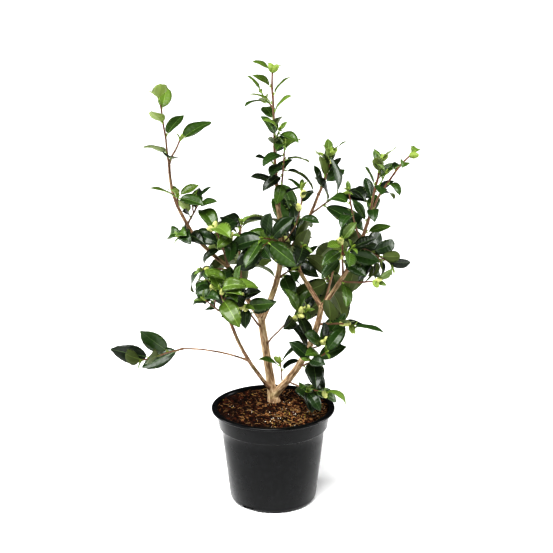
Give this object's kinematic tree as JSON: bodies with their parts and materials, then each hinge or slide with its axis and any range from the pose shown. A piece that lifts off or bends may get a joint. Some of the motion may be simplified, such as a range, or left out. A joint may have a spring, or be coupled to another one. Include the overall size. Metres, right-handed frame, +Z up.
{
  "type": "potted camellia shrub",
  "caption": "Open, upright camellia shrub with glossy oval leaves and pale buds on brown stems, in a round black nursery pot filled with compost.",
  "frame": {"origin": "centre of the pot's flat underside, where it stands on the ground", "axes": "+Z up along the pot's axis; -Y faces the viewer of the open side, where the trunk's foot is behind the pot's centre; +X to the viewer's right, towards the right stem"},
  "size_m": [0.4445, 0.3235, 0.6732],
  "materials": {
    "pot": "satin black moulded polypropylene",
    "compost": "moist composted bark and peat with pale chips and granules",
    "bark": "smooth tan bark with fine grain, greener and redder on young twigs",
    "dark_leaves": "glossy dark green full-grown leaves, paler beneath",
    "mid_leaves": "glossy mid green leaves, paler beneath",
    "young_leaves": "satin light green young leaves"
  },
  "bodies": {
    "root": {"pot": "pot", "compost": "compost", "trunk": "bark", "leader": "bark", "left_bough": "bark", "upper_left_bough": "bark", "left_stem": "bark", "low_left_bough": "bark", "right_stem": "bark", "right_bough": "bark", "right_inner_bough": "bark", "upper_right_bough": "bark", "crown_top": "mid_leaves", "upper_left_tip": "young_leaves", "upper_left_side": "dark_leaves", "upper_left_mid": "mid_leaves", "upper_right": "mid_leaves", "back_crown": "dark_leaves", "back_left": "dark_leaves", "back_right": "dark_leaves", "upper_left_leaves": "dark_leaves", "upper_right_low": "dark_leaves", "left_low_cluster": "dark_leaves", "right_inner": "dark_leaves", "small_right_twig": "dark_leaves", "leader_left": "dark_leaves", "leader_right": "dark_leaves", "left_inner": "mid_leaves", "hanging_left": "dark_leaves", "right_outer": "dark_leaves", "right_top": "mid_leaves", "right_far": "mid_leaves", "inner_right": "dark_leaves", "right_centre": "mid_leaves", "right_mid": "mid_leaves", "stem_twig": "dark_leaves", "right_low": "dark_leaves", "right_stem_spray": "dark_leaves", "right_stub": "dark_leaves", "left_outer": "dark_leaves", "left_front": "young_leaves", "low_left_spray": "dark_leaves", "low_right_shoot": "mid_leaves", "leader_spray": "mid_leaves", "centre_spray": "dark_leaves", "bough_spray": "dark_leaves", "right_side_spray": "dark_leaves", "right_end_spray": "dark_leaves"}
  },
  "joints": []
}
